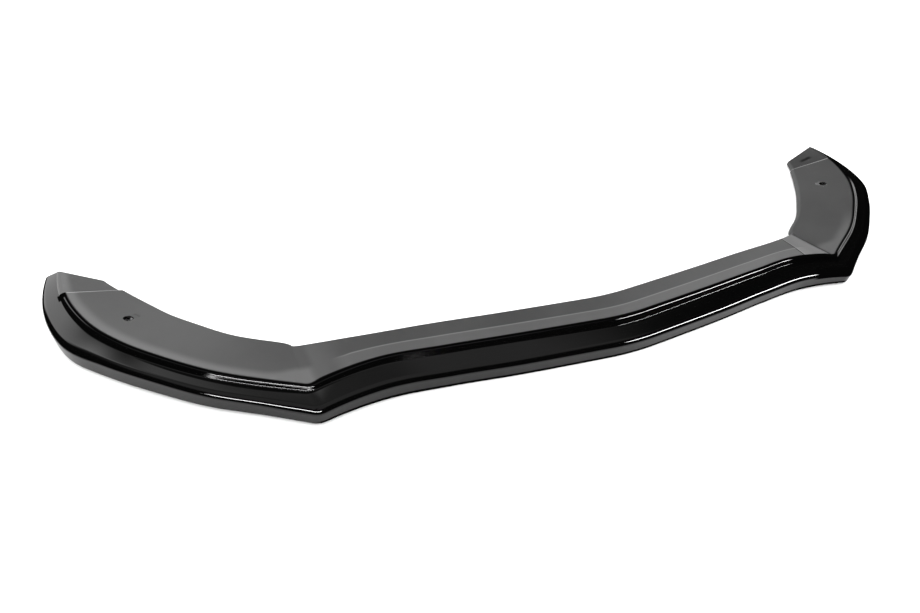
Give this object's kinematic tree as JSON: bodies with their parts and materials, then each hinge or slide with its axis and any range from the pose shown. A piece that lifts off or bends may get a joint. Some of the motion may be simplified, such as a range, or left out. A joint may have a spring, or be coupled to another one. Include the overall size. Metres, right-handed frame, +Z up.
{
  "type": "front splitter lip",
  "caption": "One-piece vacuum-formed front splitter lip for a car bumper, with a stepped ledge, an upright band and swept-back wings that screw on from below.",
  "frame": {"origin": "middle of the part in plan, at the height of its lowest point", "axes": "+X along the span, to the right as seen from in front; -Y to the front; +Z up"},
  "size_m": [1.8112, 0.4668, 0.054],
  "materials": {
    "gloss_black_abs": "high gloss, as formed from sheet"
  },
  "bodies": {
    "root": {"splitter_lip": "gloss_black_abs"}
  },
  "joints": []
}
